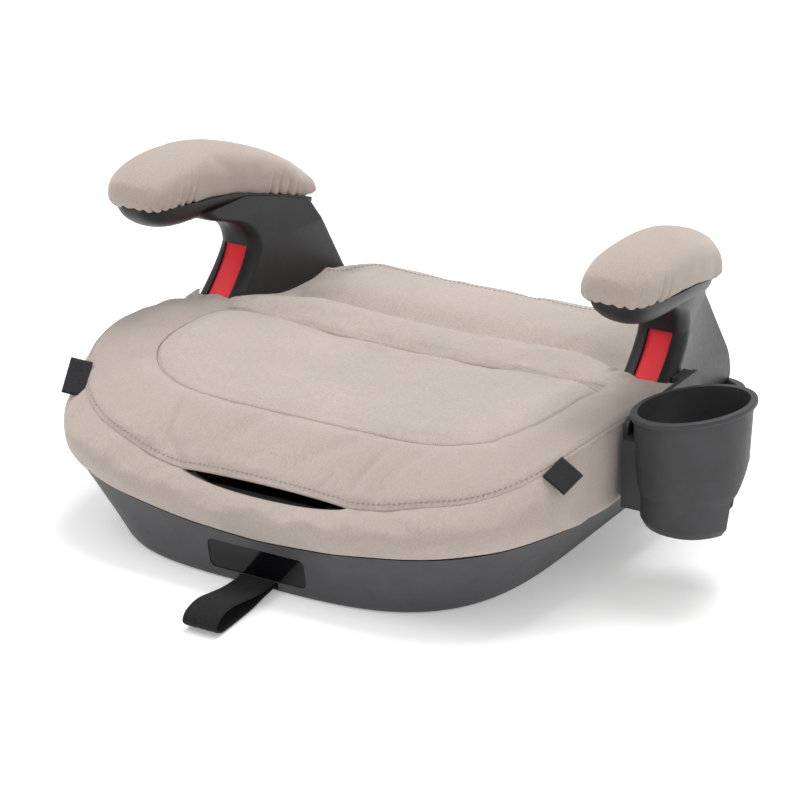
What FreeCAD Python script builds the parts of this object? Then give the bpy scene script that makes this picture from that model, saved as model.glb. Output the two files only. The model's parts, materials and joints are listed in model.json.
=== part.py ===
"""Backless booster seat: fabric-covered seat on a plastic base, two padded armrests with belt guides,
a side cup holder, and a lower-anchor latch carriage released by a webbing strap at the front.

Millimetres. +Z up, the seat faces -Y, and +X is the side that carries the cup holder.
The origin lies on the ground under the middle of the seat.
"""
import FreeCAD, Part
import math
import os

V = FreeCAD.Vector

# ---------------------------------------------------------------- driving dimensions
WALL = 3.0                     # moulded wall of the casings
GAP = 0.4                      # moulding gap between a casing and the piece let into it
POST_GAP = 1.6                 # room round the armrest post
PARTING_FRONT_Z = 36.0         # height of the base lip at the front
PARTING_SLOPE = 0.063          # rise of the lip per mm towards the rear
REAR_CORNER_R = 22.0
FRONT_POWERS = [(0, 3.5), (50, 4.3), (66, 4.3), (95, 3.2)]   # squareness of the round front, by height

# horizontal rings of the casings: (z, half width, front y, rear y)
BASE_RINGS = [(0, 153, -179.5, 172), (1.2, 155.5, -181.3, 174), (4, 157.5, -182.5, 175.5),
              (66, 200, -193.5, 190)]
SHELL_RINGS = [(30, 174, -182, 182), (45, 184, -186, 185), (60, 193, -186, 184),
               (66, 193, -180, 180), (72, 190, -166, 174), (78, 184, -150, 168), (84, 164, -128, 156)]
COVER_RINGS = [(30, 178, -186, 187), (45, 189, -190.5, 189), (56, 199, -193, 189), (66, 200.8, -190, 188),
               (74, 200.8, -180, 186), (84, 200.8, -178, 182), (98, 200.8, -177, 171), (122, 200.5, -177, 157)]
FOAM_RINGS = [(84, 160, -126, 150), (90, 176, -138, 150), (100, 183, -140, 148), (118, 183, -136, 146)]
FOAM_SKIN = 5.0                # thickness of the cover over the foam
# top of the seat: plan outlines as half width, front y, rear y, squareness of the front and of the rear
CENTRE_Y = -4.0
INSET = (155.0, -121.0, 22.0, 4.0, 9.0)        # seam round the centre panel
SEAM = (200.0, -176.0, 158.0, 3.4, 8.0)        # perimeter seam
MIDDLE_Z = 106.5
SURFACE_HALF, SURFACE_STEP = 252, 18           # plan size and spacing of the points of a height surface
PARTING_RISE = [(0, 1.4), (6, 2.2), (18, 5), (28, 9.5), (37, 13), (45, 16), (52, 16.6), (58, 15.2), (68, 6.6),
                (78, 0.8), (88, 0), (180, 0)]   # (degrees from the front, how much higher the lip of the base is)
PARTING_REACH = 170.0
INSET_Z = [(0, 105), (38, 105), (52, 108.5), (58, 112), (64, 114.5), (73, 115.5), (83, 115), (93, 112), (98, 109),
           (120, 107), (180, 107)]             # (degrees from the front, height)
SEAM_Z = [(0, 74), (20, 74), (27, 76), (36, 82.5), (44, 87.5), (52, 96), (57, 102), (62, 108), (67, 112),
          (75, 114.5), (83, 114), (90, 111.5), (104, 108), (122, 108), (140, 107), (180, 106.5)]
DECK_Z = 84.0

# hand hold under the front seam
HAND_HALF_W = 62.0
HAND_Z = (65.0, 75.0)

# armrest post and neck; both front edges follow one hollow curve up to the arm
POST_TOP_Z = 139.0
POST_FOOT_Z = 40.0
POST_FRONT_Y = 63.5                       # front of the post at its top
POST_SWEEP = (0.163, 1.45)                # how far the front runs forward below the top: factor, power
POST_FOOT_FRONT_Y = 8.0
POST_REAR_Y = 149.0                       # rear of the post at its top
POST_REAR_SLOPE = 0.65
POST_FOOT_REAR_Y = 189.0
POST_X_INNER = (156.5, 150.0)             # inner face at the front and at the rear
POST_X_OUTER = (196.5, 171.0)             # outer face at the front and at the rear
POST_CORNERS = (9.0, 12.0, 7.0, 5.0)      # corner radii: inner front, outer front, outer rear, inner rear
NECK_FRONT = [(139, 63.5), (146, 62.5), (152, 59.5), (158, 53), (163, 44), (168, 30), (180, 10)]   # (z, front y)
GUIDE_X = (166.0, 185.0)                  # red belt guide, between two flanges of the post
GUIDE_SINK = 3.0                          # its face lies this far behind the flanges
GUIDE_FOOT_Z = 84.0
GUIDE_T = 3.0

# upper arm: y, centre x, half width, top z, keel z
ARM_SECTIONS = [(-50, 190, 8, 202, 197), (-44, 190.5, 15, 199, 188), (-30, 191.5, 20, 196, 179),
                (-8, 191, 22.5, 192.5, 173), (20, 190, 23.5, 189, 171), (45, 188, 23.5, 185.5, 168),
                (75, 184, 21.5, 177.5, 162), (105, 177, 18, 168.5, 156), (128, 170, 13, 160.5, 150),
                (142, 166, 9, 156, 146)]
# padded armrest cover: y, centre x, half width, bottom z, top z
PAD_SECTIONS = [(-55, 189.5, 5, 203, 210), (-52.5, 190, 13, 199.5, 216), (-47, 190.5, 19, 197, 221.5),
                (-38, 191, 24, 195.5, 226), (-25, 191.5, 26.5, 194.5, 229.5), (-5, 191.5, 27.5, 192, 230.5),
                (20, 190.5, 27.5, 188.5, 230), (45, 188.5, 26.5, 185, 226.5), (62, 186.5, 26, 181.5, 222),
                (83, 183, 24.5, 175, 216), (105, 178.5, 22, 168, 208), (123, 174.5, 19, 162, 200),
                (138, 171.5, 15.5, 158, 190.5), (149, 170, 11, 158, 182), (155.5, 169.5, 5, 163, 174)]
PAD_SKIN = 2.5

# cup holder
CUP_XY = (246.0, -27.0)
CUP_RIM_Z = 130.5
CUP_TILT = 10.5                # degrees, the outer side of the rim is higher
CUP_RIM_R = 43.0
CUP_WALL = 2.5
CUP_PROFILE = [(26, 43), (31, 45.5), (33.5, 50), (35.5, 70), (37, 76), (38.5, 90), (40.8, 150)]   # (radius, z)
MUG_SLOT_AZIMUTH = 19.0        # degrees from +X towards +Y
RAIL_Z = (62.0, 102.0)
BRACKET_X = (201.8, 205.3)      # plate that carries the cup holder
BRACKET_Z = (56.0, 115.0)
BRACKET_REAR_Y = 70.0

# cloth tags: root, turn about Z, tilt down, length, width
SIDE_TAGS = {"right": ((186.5, -113.5, 102.5), -28.0, 8.0, 24.0, 20.0),
             "left": ((-176.5, -128.5, 96.0), 217.0, -32.0, 19.0, 24.0)}

# badge and strap
BADGE_HALF_W = 38.0
BADGE_Z = (8.6, 30.0)
STRAP_W = 27.0
STRAP_T = 1.3

# latch carriage
LATCH_X = 138.0                # connectors sit 276 mm apart
TUBE_W, TUBE_H = 20.0, 12.0
TUBE_Z = 20.0
HOUSING_Y = (112.0, 172.0)
HOUSING_Z = (14.0, 54.0)
HOUSING_W = 26.0
MOUTH_Z = (25.5, 34.5)
MOUTH_DEPTH = 24.0
JAW_PIVOT = (132.0, 39.0)      # y, z
BUTTON_Y = 120.0
PAWL_PIVOT_Z = 36.0
PAWL_PIN_Z = 9.8
PIN_R = 3.0
RACK_Z = (14.0, 18.0)
TOOTH_H = 2.0
TOOTH_PITCH = 9.0
RACK_Y = (-117.0, 56.0)


# ---------------------------------------------------------------- helpers
def box(x, y, z):
    """Solid between pairs of limits."""
    return Part.makeBox(x[1] - x[0], y[1] - y[0], z[1] - z[0], V(x[0], y[0], z[0]))


def cylinder(radius, start, axis, length):
    return Part.makeCylinder(radius, length, V(*start), V(*axis))


def mirrored(shape):
    """The same piece on the other side of the seat."""
    return shape.mirror(V(0, 0, 0), V(1, 0, 0))


def fuse(shapes):
    result = shapes[0]
    for other in shapes[1:]:
        result = result.fuse(other)
    return result.removeSplitter()


def spline(points, start_tangent=None, end_tangent=None):
    curve = Part.BSplineCurve()
    options = {"Points": points}
    if start_tangent:
        options["InitialTangent"] = start_tangent
        options["FinalTangent"] = end_tangent
    curve.interpolate(**options)
    return curve.toShape()


def loft(wires, ruled=False):
    return Part.makeLoft(wires, True, ruled, False)


def prism_x(side_wire, x_limits):
    """Extrude a closed wire that lies in the plane x = 0 to the given x limits."""
    face = Part.Face(side_wire)
    face.translate(V(x_limits[0], 0, 0))
    return face.extrude(V(x_limits[1] - x_limits[0], 0, 0))


def side_polygon(points):
    """Closed polygon in the plane x = 0 from (y, z) pairs."""
    corners = [V(0, y, z) for y, z in points]
    return Part.makePolygon(corners + [corners[0]])


def closed_spline(points):
    curve = Part.BSplineCurve()
    curve.interpolate(Points=points, PeriodicFlag=True)
    return Part.Wire(curve.toShape())


def front_power(z):
    """Squareness of the front at one height, between the listed heights."""
    for (z0, p0), (z1, p1) in zip(FRONT_POWERS, FRONT_POWERS[1:]):
        if z <= z1:
            return p0 + (p1 - p0) * (z - z0) / (z1 - z0)
    return FRONT_POWERS[-1][1]


def plan_ring(z, half_w, y_front, y_rear, inset=0.0, z_shift=0.0):
    """Closed plan outline of the seat: a squared round front, straight sides and rounded rear corners."""
    power = 2 / front_power(z)
    z = z + z_shift
    w, front, rear = half_w - inset, y_front + inset, y_rear - inset
    r = max(REAR_CORNER_R - inset, 6.0)
    y_mid = -4.0
    side_end = rear - r
    right = [V(w, y_mid + (side_end - y_mid) * t, z) for t in (0.0, 0.33, 0.66, 0.9)]
    for angle in (0, 22.5, 45, 67.5, 90):
        c, s = math.cos(math.radians(angle)), math.sin(math.radians(angle))
        right.append(V(w - r + r * c, side_end + r * s, z))
    right += [V((w - r) * t, rear, z) for t in (0.9, 0.6, 0.3)]
    left = [V(-p.x, p.y, z) for p in reversed(right)]
    nose = []
    for angle in (8, 18, 30, 42, 54, 66, 78, 90):
        c, s = math.cos(math.radians(angle)), math.sin(math.radians(angle))
        nose.append(V(-w * c ** power, y_mid - (y_mid - front) * s ** power, z))
    nose += [V(-p.x, p.y, z) for p in reversed(nose[:-1])]
    return closed_spline(right + left + nose)


def casing(rings, inset=0.0, z_shift=0.0):
    """Solid envelope lofted through plan rings, optionally inset and shifted down."""
    return loft([plan_ring(*ring, inset, z_shift) for ring in rings], True)


def knot_value(knots, at):
    """Value between (place, value) knots."""
    for (a0, v0), (a1, v1) in zip(knots, knots[1:]):
        if at <= a1:
            return v0 + (v1 - v0) * (at - a0) / (a1 - a0)
    return knots[-1][1]


def reach(x, y, outline):
    """Distance from the middle of the seat to a plan outline, towards one point."""
    half_w, front, rear, front_power, rear_power = outline
    depth, power = (CENTRE_Y - front, front_power) if y < CENTRE_Y else (rear - CENTRE_Y, rear_power)
    away = math.hypot(x, y - CENTRE_Y)
    return away / (abs(x / half_w) ** power + abs((y - CENTRE_Y) / depth) ** power) ** (1 / power)


def top_z(x, y):
    """Height of the top of the seat, which is dished and rolls down to its perimeter seam."""
    away = max(math.hypot(x, y - CENTRE_Y), 0.1)
    x = x if away > 0.1 else 0.1
    degrees = math.degrees(abs(math.atan2(x, CENTRE_Y - y)))
    inner, outer = reach(x, y, INSET), reach(x, y, SEAM)
    inner_z, outer_z = knot_value(INSET_Z, degrees), knot_value(SEAM_Z, degrees)
    if away < inner:
        return MIDDLE_Z + (inner_z - MIDDLE_Z) * (away / inner) ** 2.5
    return inner_z + (outer_z - inner_z) * min((away - inner) / (outer - inner), 1.6) ** 1.8


def space_over(height, lift=0.0):
    """Everything above a surface given by its height over the plan."""
    places = range(-SURFACE_HALF, SURFACE_HALF + 1, SURFACE_STEP)
    surface = Part.BSplineSurface()
    surface.interpolate([[V(x, y, height(x, y) + lift) for y in places] for x in places])
    return surface.toShape().extrude(V(0, 0, 200))


def parting_z(x, y):
    """Height of the lip of the base, which slopes up to the rear and is higher at the front corners."""
    degrees = math.degrees(abs(math.atan2(x, CENTRE_Y - y)))
    outward = min(1.0, math.hypot(x, y - CENTRE_Y) / PARTING_REACH) ** 3
    return PARTING_FRONT_Z + PARTING_SLOPE * (y + 190) + knot_value(PARTING_RISE, degrees) * outward


def rounded_quad(corners, radii):
    """Closed wire of straight sides and corner arcs in a horizontal plane."""
    edges, ends = [], []
    count = len(corners)
    for i, corner in enumerate(corners):
        to_prev = (corners[i - 1] - corner).normalize()
        to_next = (corners[(i + 1) % count] - corner).normalize()
        half = to_prev.getAngle(to_next) / 2
        bisector = (to_prev + to_next).normalize()
        reach = radii[i] / math.tan(half)
        centre = corner + bisector * (radii[i] / math.sin(half))
        ends.append((corner + to_prev * reach, centre - bisector * radii[i], corner + to_next * reach))
    for i in range(count):
        edges.append(Part.Arc(*ends[i]).toShape())
        edges.append(Part.LineSegment(ends[i][2], ends[(i + 1) % count][0]).toShape())
    return Part.Wire(edges)


def post_front(z):
    factor, power = POST_SWEEP
    return max(POST_FOOT_FRONT_Y, POST_FRONT_Y - factor * (POST_TOP_Z - z) ** power)


def post_ring(z):
    """Front y, rear y, inner x and outer x (front, rear) of the post at one height."""
    rear = min(POST_FOOT_REAR_Y, POST_REAR_Y + POST_REAR_SLOPE * (POST_TOP_Z - z))
    tuck = 11.0 * max(0.0, (80 - z) / 40) ** 1.3
    spread = 4.0 * min(1.0, (POST_TOP_Z - z) / 50)
    return z, post_front(z), rear, POST_X_INNER, (POST_X_OUTER[0] - tuck, POST_X_OUTER[1] + spread - tuck * 0.2)


POST_LEVELS = [POST_FOOT_Z, 60, 74, 84, 94, 104, 114, 124, 132, POST_TOP_Z]
CAVITY_LEVELS = [POST_FOOT_Z - 3, 66, 90, 110, 126, POST_TOP_Z - 4]


def post_wire(ring, inset=0.0, front_inset=None):
    """Plan section of the right armrest post."""
    z, y_f, y_r, inner, outer = ring
    front = inset if front_inset is None else front_inset
    corners = [V(inner[0] + inset, y_f + front, z), V(outer[0] - inset, y_f + front, z),
               V(outer[1] - inset, y_r - inset, z), V(inner[1] + inset, y_r - inset, z)]
    radii = [max(r - inset, 2.0) for r in POST_CORNERS]
    return rounded_quad(corners, radii)


def post_solid():
    return loft([post_wire(post_ring(z)) for z in POST_LEVELS])


def post_clearance():
    """Space at the rear corner that the cover, foam and shell leave free for the right post."""
    wires = []
    for z in POST_LEVELS[:8]:
        z, y_f, y_r, inner, outer = post_ring(z)
        corners = [V(inner[0] - POST_GAP, y_f - POST_GAP, z), V(240, y_f - POST_GAP, z), V(240, 240, z),
                   V(inner[1] - POST_GAP, 240, z)]
        wires.append(rounded_quad(corners, POST_CORNERS))
    return loft(wires, True)


def clear_of_posts(solid):
    """Leave room for both armrest posts."""
    for room in (post_clearance(), post_solid()):
        solid = solid.cut(room).cut(mirrored(room))
    return max(solid.Solids, key=lambda piece: piece.Volume)


def coil(radius, wire_r, start, axis, length, turns):
    """Helical compression spring with its first turn at start."""
    path = Part.makeHelix(length / turns, length, radius)
    section = Part.Wire(Part.Circle(V(radius, 0, 0), V(0, 1, 0), wire_r).toShape())
    spring = Part.Wire(path).makePipeShell([section], True, True)
    spring.Placement = FreeCAD.Placement(V(*start), FreeCAD.Rotation(V(0, 0, 1), V(*axis)))
    return spring


def screw(x, y, z, length, up=1, head_r=4.0, shank_r=1.9):
    """Pan head screw, its head's seat at (x, y, z) and its shank pointing up or down."""
    axis = V(0, 0, up)
    head = Part.makeCylinder(head_r, 2.2, V(x, y, z), axis * -1)
    shank = Part.makeCylinder(shank_r, length, V(x, y, z), axis)
    drive = Part.makeCylinder(1.4, 1.2, V(x, y, z - up * 2.2), axis)
    return head.fuse(shank).cut(drive)


# ---------------------------------------------------------------- base, shell, foam and cover
SCREW_SPOTS = [(side * x, y) for x, y in ((118, -105), (112, -30), (70, 158)) for side in (1, -1)]
BOSS_TOP = 34.0                # the base bosses end here and the shell bosses start here


def mouth_opening(side):
    """Rear opening of the casings for one connector."""
    x = side * LATCH_X
    return box((x - 15, x + 15), (160, 240), (11, 58))


def strap_slot():
    return box((-15.5, 15.5), (-200, -170), (2.2, 7.6))


def badge_prism(margin):
    """Rounded block through the front wall, for the badge and its pocket."""
    block = box((-BADGE_HALF_W - margin, BADGE_HALF_W + margin), (-200, -170),
                (BADGE_Z[0] - margin, BADGE_Z[1] + margin))
    along_y = [e for e in block.Edges if abs(e.tangentAt(e.FirstParameter).y) > 0.9]
    return block.makeFillet(4.0 + margin, along_y)


def badge_skin(outset, inset):
    """Layer that follows the front wall of the base."""
    return casing(BASE_RINGS, -outset).cut(casing(BASE_RINGS, inset))


def base_shell():
    outer = casing(BASE_RINGS).cut(space_over(parting_z))
    cavity = casing(BASE_RINGS, WALL, WALL)
    cavity = cavity.cut(box((-42, 42), (-200, -177.5), (0, 34)))
    shell = outer.cut(cavity)
    bosses = []
    for x, y in SCREW_SPOTS:
        bosses.append(cylinder(6.5, (x, y, 1), (0, 0, 1), BOSS_TOP - 1))
    ribs = [box((side * 20.5 - 1.5, side * 20.5 + 1.5), (-9, 9), (1, 41)) for side in (1, -1)]
    ribs += [box((side * 13.6 - 1.2, side * 13.6 + 1.2), (-148, -24), (1, 8)) for side in (1, -1)]
    shell = fuse([shell] + bosses + ribs)
    for x, y in SCREW_SPOTS:
        shell = shell.cut(cylinder(2.1, (x, y, -1), (0, 0, 1), BOSS_TOP + 2))
        shell = shell.cut(cylinder(4.6, (x, y, -1), (0, 0, 1), 4.4))
    shell = shell.cut(cylinder(PIN_R + 0.05, (-30, 0, PAWL_PIVOT_Z), (1, 0, 0), 60))
    pocket = badge_skin(5.0, 1.6).common(badge_prism(0.5))
    shell = shell.cut(pocket).cut(strap_slot())
    for side in (1, -1):
        shell = shell.cut(mouth_opening(side))
    return shell


def seat_shell():
    outer = casing(SHELL_RINGS)
    cavity = casing(SHELL_RINGS, WALL, -WALL)
    bosses = [cylinder(6.0, (x, y, BOSS_TOP), (0, 0, 1), DECK_Z - 1 - BOSS_TOP) for x, y in SCREW_SPOTS]
    shell = outer.cut(cavity).common(space_over(parting_z))
    shell = fuse([shell] + bosses)
    shell = shell.cut(hand_hold_cut())
    for x, y in SCREW_SPOTS:
        shell = shell.cut(cylinder(2.0, (x, y, BOSS_TOP - 1), (0, 0, 1), 18))
    for side in (1, -1):
        shell = shell.cut(mouth_opening(side))
    return clear_of_posts(shell)


def hand_hold_cut():
    block = box((-HAND_HALF_W, HAND_HALF_W), (-210, -100), HAND_Z)
    along_y = [e for e in block.Edges if abs(e.tangentAt(e.FirstParameter).y) > 0.9]
    return block.makeFillet(4.5, along_y)


def seat_foam():
    foam = loft([plan_ring(z, *rest) for z, *rest in FOAM_RINGS], True).cut(space_over(top_z, -FOAM_SKIN))
    return clear_of_posts(foam)


def seat_cover(shell, foam):
    """Sewn cover with its wadding: the space between the outer skin and the shell and foam."""
    cover = casing(COVER_RINGS).common(space_over(parting_z, 1.2)).cut(space_over(top_z))
    cover = cover.cut(casing(SHELL_RINGS, -GAP, GAP)).cut(shell).cut(foam)
    cover = cover.cut(hand_hold_cut())
    for side in (1, -1):
        cover = cover.cut(mouth_opening(side))
    return clear_of_posts(cover)


def badge_plate():
    return badge_skin(-0.6, 1.6).common(badge_prism(0.2))


# ---------------------------------------------------------------- armrests (right side; the left is its mirror)
def guide_wire(depth_front, depth_back, z_top):
    """Side outline of a layer along the belt guide's path, between two depths behind its face."""
    levels = [GUIDE_FOOT_Z + (z_top - GUIDE_FOOT_Z) * i / 6 for i in range(7)]
    path = [(post_front(min(z, POST_TOP_Z)) + GUIDE_SINK, z) for z in levels]
    front = [V(0, y + depth_front, z) for y, z in path]
    back = [V(0, y + depth_back, z) for y, z in path]
    edges = [spline(front), Part.LineSegment(front[-1], back[-1]).toShape(),
             spline(back[::-1]), Part.LineSegment(back[0], front[0]).toShape()]
    return Part.Wire(edges)


def belt_guide():
    return prism_x(guide_wire(0, GUIDE_T, 139.0), (GUIDE_X[0] + 0.3, GUIDE_X[1] - 0.3))


ARM_SCREW_SPOTS = [(172.0, 92.0), (164.0, 126.0)]


def armrest_post():
    post = post_solid().cut(post_cavity())
    post = post.common(space_over(parting_z))
    post = post.cut(prism_x(guide_wire(-30, GUIDE_T + 0.3, 140.5), GUIDE_X))
    for x, y in ARM_SCREW_SPOTS:
        post = post.cut(cylinder(2.1, (x, y, 125), (0, 0, 1), 30))
    return post


def post_cavity():
    return loft([post_wire(post_ring(z), WALL, 14.0) for z in CAVITY_LEVELS], True)


def hull_wire(section):
    """Cross section of the arm: flat top and a rounded keel below."""
    y, x, w, top, keel = section
    depth = top - keel
    below = [V(x + w, y, top), V(x + 0.93 * w, y, top - 0.42 * depth), V(x + 0.62 * w, y, top - 0.82 * depth),
             V(x, y, keel), V(x - 0.62 * w, y, top - 0.82 * depth), V(x - 0.93 * w, y, top - 0.42 * depth),
             V(x - w, y, top)]
    return Part.Wire([Part.LineSegment(below[-1], below[0]).toShape(), spline(below)])


def neck_wire(z, y_front):
    """Plan section of the neck between the post and the arm."""
    rise = z - POST_TOP_Z
    lean = 0.22 * rise
    inner = (POST_X_INNER[0] + lean, POST_X_INNER[1] + lean)
    outer = (POST_X_OUTER[0] + 0.1 * rise, POST_X_OUTER[1] + 0.2 * rise)
    return post_wire((z, y_front, POST_REAR_Y - POST_REAR_SLOPE * rise, inner, outer))


def arm_solid():
    hull = loft([hull_wire(section) for section in ARM_SECTIONS])
    neck = loft([neck_wire(*level) for level in NECK_FRONT])
    under_top = [(-20, 120), (-20, 186), (45, 184)] + \
                [(y, top - 1.5) for y, x, w, top, keel in ARM_SECTIONS[6:]] + [(165, 147), (165, 120)]
    neck = neck.common(prism_x(side_polygon(under_top), (100, 260)))
    return hull.fuse(neck)


def armrest_body(arm):
    for x, y in ARM_SCREW_SPOTS:
        arm = arm.cut(cylinder(2.0, (x, y, POST_TOP_Z - 1), (0, 0, 1), 16))
    return arm


def pad_wire(section, skin=0.0):
    """Closed padded section: full round above, flatter below."""
    y, x, w, bottom, top = section
    w, top = w - skin, top - skin
    mid = bottom + 0.40 * (top - bottom)
    points = []
    for i in range(14):
        angle = 2 * math.pi * i / 14
        c, s = math.cos(angle), math.sin(angle)
        height = (top - mid) if s > 0 else (mid - bottom)
        points.append(V(x + w * math.copysign(abs(c) ** 0.8, c), y,
                        mid + height * math.copysign(abs(s) ** 0.8, s)))
    return closed_spline(points)


def armrest_foam(arm):
    foam = loft([pad_wire(section, PAD_SKIN) for section in PAD_SECTIONS[2:-2]])
    return foam.cut(arm)


def armrest_cover(arm, foam):
    pad = loft([pad_wire(section) for section in PAD_SECTIONS])
    cover = pad.cut(arm).cut(foam)
    return max(cover.Solids, key=lambda solid: solid.Volume)


def armrest_screws():
    return Part.makeCompound([screw(side * x, y, POST_TOP_Z - 4, 18)
                              for x, y in ARM_SCREW_SPOTS for side in (1, -1)])


def side_tag(cover, root, turn, tilt, length, width):
    """Folded cloth tag that stands out of the perimeter seam of the cover."""
    tag = box((-3, length), (-width / 2, width / 2), (-0.6, 0.6))
    tag.rotate(V(0, 0, 0), V(0, 1, 0), tilt)
    tag.rotate(V(0, 0, 0), V(0, 0, 1), turn)
    tag.translate(V(*root))
    return max(tag.cut(cover).Solids, key=lambda solid: solid.Volume)


# ---------------------------------------------------------------- cup holder
def cup_frame(z_local):
    """Box below (or above) a plane parallel to the tilted rim."""
    block = Part.makeBox(200, 200, 200, V(-100, -100, z_local))
    block.Placement = FreeCAD.Placement(V(CUP_XY[0], CUP_XY[1], CUP_RIM_Z),
                                        FreeCAD.Rotation(V(0, 1, 0), -CUP_TILT))
    return block


def cup_turned(inset, floor):
    """Turned body of the cup, inset from its outside."""
    points = [V(0, 0, CUP_PROFILE[0][1] + floor)]
    points += [V(r - inset, 0, z + floor * (i == 0)) for i, (r, z) in enumerate(CUP_PROFILE)]
    points.append(V(0, 0, CUP_PROFILE[-1][1]))
    face = Part.Face(Part.makePolygon(points + [points[0]]))
    body = face.revolve(V(0, 0, 0), V(0, 0, 1), 360)
    body.translate(V(CUP_XY[0], CUP_XY[1], 0))
    return body


def mug_slot():
    """Handle slot: wide at the open bottom, pointed at the top."""
    half, shoulder_z, apex_z = 20.0, 70.0, 98.0
    side = [V(0, -half, 20), V(0, -half, shoulder_z), V(0, -half * 0.55, 84), V(0, 0, apex_z),
            V(0, half * 0.55, 84), V(0, half, shoulder_z), V(0, half, 20)]
    wire = Part.Wire([Part.LineSegment(side[0], side[1]).toShape(), Part.Arc(*side[1:4]).toShape(),
                      Part.Arc(*side[3:6]).toShape(), Part.LineSegment(side[5], side[6]).toShape(),
                      Part.LineSegment(side[6], side[0]).toShape()])
    slot = prism_x(wire, (22, 70))
    slot.rotate(V(0, 0, 0), V(0, 0, 1), MUG_SLOT_AZIMUTH)
    slot.translate(V(CUP_XY[0], CUP_XY[1], 0))
    return slot


def cup_holder():
    above = cup_frame(0)
    body = cup_turned(0, 0).cut(above)
    rim = cylinder(CUP_RIM_R, (0, 0, -4.0), (0, 0, 1), 4.0)
    rim = rim.makeFillet(1.3, [e for e in rim.Edges if e.Closed])
    rim.Placement = cup_frame(0).Placement
    plate_x = BRACKET_X[1]
    back = box((plate_x + GAP, CUP_XY[0] - 25), (CUP_XY[1] - 24, CUP_XY[1] + 24), (56, 105))
    cup = fuse([body, rim, back])
    cup = cup.cut(cup_turned(CUP_WALL, CUP_WALL)).cut(mug_slot())
    cup = cup.cut(rail_solid(0.4, extra_down=20))
    return cup


def rail_solid(margin, extra_down=0.0):
    """T rail on the bracket that the cup's back slides over."""
    x0 = BRACKET_X[1]
    z = (RAIL_Z[0] - margin - extra_down, RAIL_Z[1] + margin)
    neck = box((x0 - 1, x0 + 3 + margin), (CUP_XY[1] - 5 - margin, CUP_XY[1] + 5 + margin), z)
    head = box((x0 + 3 - margin, x0 + 5.5 + margin), (CUP_XY[1] - 10 - margin, CUP_XY[1] + 10 + margin), z)
    return neck.fuse(head)


def cup_holder_bracket():
    plate = box(BRACKET_X, (CUP_XY[1] - 15, BRACKET_REAR_Y), BRACKET_Z)
    along_x = [e for e in plate.Edges if abs(e.tangentAt(e.FirstParameter).x) > 0.9]
    plate = plate.makeFillet(6.0, along_x)
    boss = box((POST_X_OUTER[0] - 3, BRACKET_X[0] + 1), (48, BRACKET_REAR_Y - 3), (92, BRACKET_Z[1] - 2))
    return fuse([plate, rail_solid(0.0), boss.cut(post_solid())])


# ---------------------------------------------------------------- release strap, slider and pawl
def release_strap():
    """Webbing out of the front slot, folded back on itself into a loose loop on the ground."""
    half_t = STRAP_T / 2
    centre = [(-168.6, 5.0), (-186, 5.0), (-198, 3.4), (-212, 2.0), (-230, 2.2), (-246, 3.0)]
    lower = [V(0, y, z - STRAP_T) for y, z in centre]
    tip = [V(0, -255, 2.6), V(0, -262, 6.5), V(0, -259, 12.0), V(0, -249, 13.2), V(0, -236, 9.6)]
    upper = [V(0, -221, 5.6), V(0, -207, 4.4), V(0, -197, 5.4), V(0, -184, 5.0 + STRAP_T + half_t),
             V(0, -168.6, 5.0 + STRAP_T)]
    outline = spline(lower + tip + upper)
    outer = Part.Wire([outline, Part.LineSegment(upper[-1], lower[0]).toShape()])
    hole = [V(0, -238, 3.6), V(0, -247, 3.9), V(0, -255, 5.0), V(0, -259, 7.5), V(0, -256, 10.6),
            V(0, -248, 11.2), V(0, -238, 7.6), V(0, -229, 4.6)]
    half = STRAP_W / 2
    return prism_x(outer, (-half, half)).cut(prism_x(closed_spline(hole), (-half - 1, half + 1)))


def release_slider():
    plate = box((-12, 12), (-168.4, 6), (4.5, 7.3))
    tab = box((-7, 7), (-128, -125), (7, 15.5))
    yoke = box((-12, 12), (-6, 6), (7, 12.2))
    slot = box((-13, 13), (-2.65, 2.65), (7.5, 13))
    return fuse([plate, tab, yoke]).cut(slot)


def slider_guide():
    """Bridge over the slider that holds the front end of its spring."""
    frame = box((-19, 19), (-160, -157), (WALL, 17)).cut(box((-12.6, 12.6), (-161, -156), (0, 8)))
    return frame.cut(box((-20, 20), (-161, -156), (0, WALL)))


def lock_pawl():
    hub = cylinder(6.5, (-17, 0, PAWL_PIVOT_Z), (1, 0, 0), 34)
    nose = prism_x(side_polygon([(3, 41), (-14, 38), (-23, 30), (-22.5, 20.6), (-18, 20.6), (-16, 27), (-5, 31)]),
                   (-9, 9))
    cheeks = [box((side * 15.4 - 1.6, side * 15.4 + 1.6), (-4, 4), (PAWL_PIN_Z - 3, PAWL_PIVOT_Z))
              for side in (1, -1)]
    pawl = fuse([hub, nose] + cheeks)
    pawl = pawl.cut(cylinder(PIN_R + 0.05, (-30, 0, PAWL_PIVOT_Z), (1, 0, 0), 60))
    return pawl.cut(cylinder(2.0, (-30, 0, PAWL_PIN_Z), (1, 0, 0), 60))


def latch_rack():
    y0 = RACK_Y[0]
    bar = box((-10, 10), RACK_Y, RACK_Z)
    teeth = []
    count = int((0 - y0) / TOOTH_PITCH)
    for i in range(count):
        y = y0 + i * TOOTH_PITCH
        teeth.append(prism_x(side_polygon([(y, RACK_Z[1] - 1), (y, RACK_Z[1] + TOOTH_H), (y + 2, RACK_Z[1] + TOOTH_H),
                                           (y + 6.5, RACK_Z[1]), (y + 6.5, RACK_Z[1] - 1)]), (-8, 8)))
    return fuse([bar] + teeth)


# ---------------------------------------------------------------- latch carriage
CROSS_Y = (20.0, 32.0)


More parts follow.
